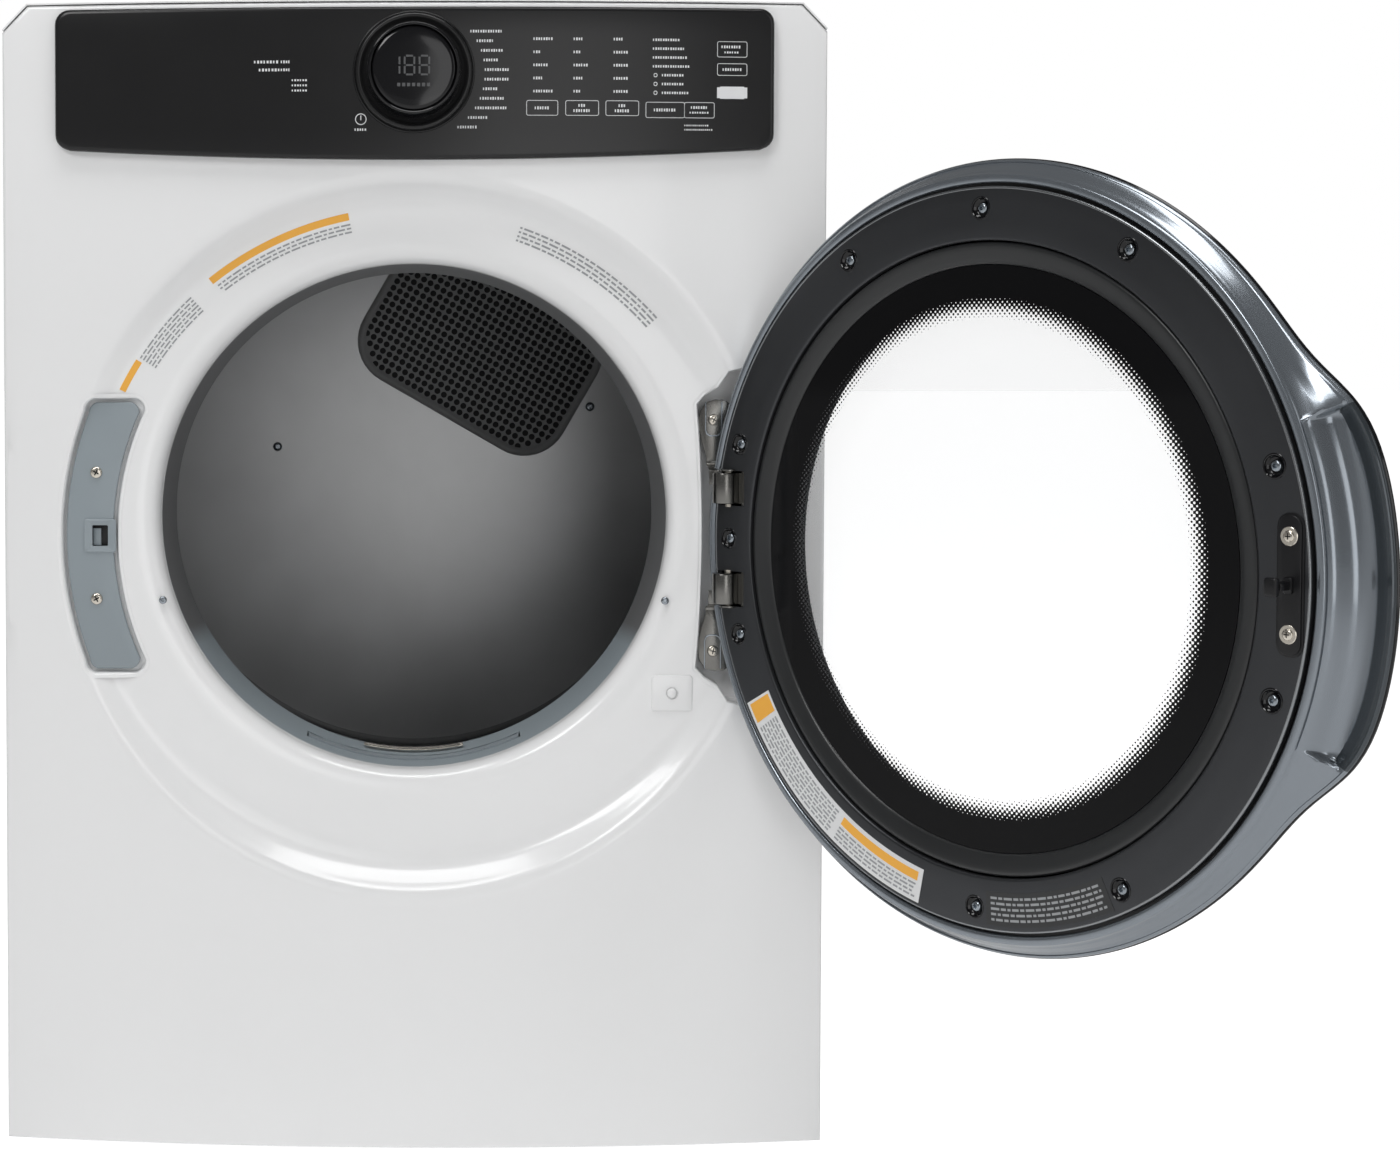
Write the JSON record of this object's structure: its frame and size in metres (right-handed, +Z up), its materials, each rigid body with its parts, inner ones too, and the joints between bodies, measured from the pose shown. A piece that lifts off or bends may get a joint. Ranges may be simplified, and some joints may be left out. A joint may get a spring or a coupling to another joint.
{
  "type": "clothes dryer",
  "caption": "Front-loading clothes dryer with a round hinged glass door, a rotary selector console, a tumbling drum with lifters, and the belt drive, blower and ducts behind the panels.",
  "frame": {"origin": "centre of the base pan's underside, midway between the side panels and between the front panel's crown and the rear panel", "axes": "+X towards the hinge side of the door, +Y from the door towards the rear panel, +Z up; the door is stored open"},
  "size_m": [0.9822, 1.2305, 0.965],
  "materials": {
    "white_enamel": "glossy white enamel",
    "graphite_plastic": "smooth graphite",
    "charcoal_plastic": "satin charcoal",
    "silver_paint": "metallic blue-grey paint",
    "slate_plastic": "moulded blue-grey",
    "plated_steel": "nickel plated",
    "galvanised_steel": "galvanised sheet",
    "grey_coated_steel": "dark grey coating",
    "clear_glass": "clear",
    "black_rubber": "matte black",
    "grey_felt": "felt",
    "motor_steel": "dark motor paint",
    "circuit_board": "green board",
    "screen_frame": "fine mesh in a moulded frame"
  },
  "bodies": {
    "cabinet": {"front_panel": "white_enamel", "left_side_panel": "white_enamel", "right_side_panel": "white_enamel", "top_panel": "white_enamel", "rear_panel": "galvanised_steel", "base_pan": "galvanised_steel", "console_fascia": "graphite_plastic", "console_support": "charcoal_plastic", "control_board": "circuit_board", "dial_base": "graphite_plastic", "display_window": "clear_glass", "strike_plate": "slate_plastic", "door_switch": "charcoal_plastic", "hinge_frame_leaf": "plated_steel", "hinge_pin_upper": "plated_steel", "hinge_pin_lower": "plated_steel", "front_bulkhead": "slate_plastic", "front_drum_seal": "grey_felt", "rear_bulkhead": "galvanised_steel", "rear_drum_seal": "grey_felt", "inlet_grille": "grey_coated_steel", "roller_axle_left": "plated_steel", "roller_axle_right": "plated_steel", "drive_motor": "motor_steel", "blower_housing": "slate_plastic", "exhaust_duct": "galvanised_steel", "lint_duct": "slate_plastic", "heater_housing": "galvanised_steel", "heater_coil": "plated_steel", "moisture_sensor_front": "plated_steel", "moisture_sensor_rear": "plated_steel", "drum_light_lens": "clear_glass", "terminal_block": "black_rubber", "drum_belt": "black_rubber", "idler_spring": "plated_steel"},
    "door": {"door_outer_shell": "silver_paint", "door_outer_lens": "clear_glass", "door_inner_plate": "charcoal_plastic", "door_window_bezel": "grey_coated_steel", "door_inner_glass": "clear_glass", "door_chassis": "grey_coated_steel", "hinge_door_leaf": "plated_steel", "door_latch_hook": "black_rubber"},
    "drum_body": {"drum": "galvanised_steel", "drum_baffle_1": "slate_plastic", "drum_baffle_2": "slate_plastic", "drum_baffle_3": "slate_plastic"},
    "left_roller": {"drum_roller_left": "black_rubber"},
    "right_roller": {"drum_roller_right": "black_rubber"},
    "motor_train": {"motor_shaft": "plated_steel", "blower_wheel": "charcoal_plastic"},
    "idler_arm_body": {"idler_arm": "plated_steel"},
    "idler_wheel": {"idler_pulley": "charcoal_plastic"},
    "screen": {"lint_screen": "screen_frame"},
    "switch_button": {"door_switch_plunger": "charcoal_plastic"},
    "selector": {"selector_ring": "graphite_plastic"},
    "foot_front_left": {"levelling_foot_front_left": "black_rubber"},
    "foot_front_right": {"levelling_foot_front_right": "black_rubber"},
    "foot_rear_left": {"levelling_foot_rear_left": "black_rubber"},
    "foot_rear_right": {"levelling_foot_rear_right": "black_rubber"}
  },
  "joints": [
    {"name": "door_swing", "type": "hinge", "parent": "cabinet", "child": "door", "pos_m": [0.26, -0.3655, 0.5105], "axis": [0, 0, 1], "range_deg": [-127.7, 1]},
    {"name": "drum_spin", "type": "hinge", "parent": "cabinet", "child": "drum_body", "pos_m": [0, 0, 0.5225], "axis": [0, 1, 0], "continuous": true},
    {"name": "motor_spin", "type": "hinge", "parent": "cabinet", "child": "motor_train", "pos_m": [0.155, 0, 0.09], "axis": [0, 1, 0], "continuous": true},
    {"name": "left_roller_spin", "type": "hinge", "parent": "cabinet", "child": "left_roller", "pos_m": [-0.22158, 0.2485, 0.23889], "axis": [0, 1, 0], "continuous": true},
    {"name": "right_roller_spin", "type": "hinge", "parent": "cabinet", "child": "right_roller", "pos_m": [0.22158, 0.2485, 0.23889], "axis": [0, 1, 0], "continuous": true},
    {"name": "idler_arm_swing", "type": "hinge", "parent": "cabinet", "child": "idler_arm_body", "pos_m": [0.104, 0.15, 0.03], "axis": [0, -1, 0], "range_deg": [0, 12], "stiffness_Nm_per_rad": 2, "springref_deg": -28.65},
    {"name": "idler_wheel_spin", "type": "hinge", "parent": "idler_arm_body", "child": "idler_wheel", "pos_m": [0.04, 0.14, 0.112], "axis": [0, 1, 0], "continuous": true},
    {"name": "lint_screen_slide", "type": "slide", "parent": "cabinet", "child": "screen", "axis": [0, 0, 1], "range_m": [0, 0.165]},
    {"name": "door_switch_press", "type": "slide", "parent": "cabinet", "child": "switch_button", "axis": [0, 1, 0], "range_m": [0, 0.003], "stiffness_N_per_m": 300, "springref_m": -0.001},
    {"name": "selector_turn", "type": "hinge", "parent": "cabinet", "child": "selector", "pos_m": [0, -0.39, 0.893], "axis": [0, 1, 0], "continuous": true},
    {"name": "foot_front_left_turn_out", "type": "slide", "parent": "cabinet", "child": "foot_front_left", "axis": [0, 0, -1], "range_m": [0, 0.02]},
    {"name": "foot_front_right_turn_out", "type": "slide", "parent": "cabinet", "child": "foot_front_right", "axis": [0, 0, -1], "range_m": [0, 0.02]},
    {"name": "foot_rear_left_turn_out", "type": "slide", "parent": "cabinet", "child": "foot_rear_left", "axis": [0, 0, -1], "range_m": [0, 0.02]},
    {"name": "foot_rear_right_turn_out", "type": "slide", "parent": "cabinet", "child": "foot_rear_right", "axis": [0, 0, -1], "range_m": [0, 0.02]}
  ],
  "couplings": [
    {"joint": "motor_spin", "follows": "drum_spin", "ratio": 23.496},
    {"joint": "left_roller_spin", "follows": "drum_spin", "ratio": -8.942},
    {"joint": "right_roller_spin", "follows": "drum_spin", "ratio": -8.942},
    {"joint": "idler_wheel_spin", "follows": "drum_spin", "ratio": -10.238}
  ]
}
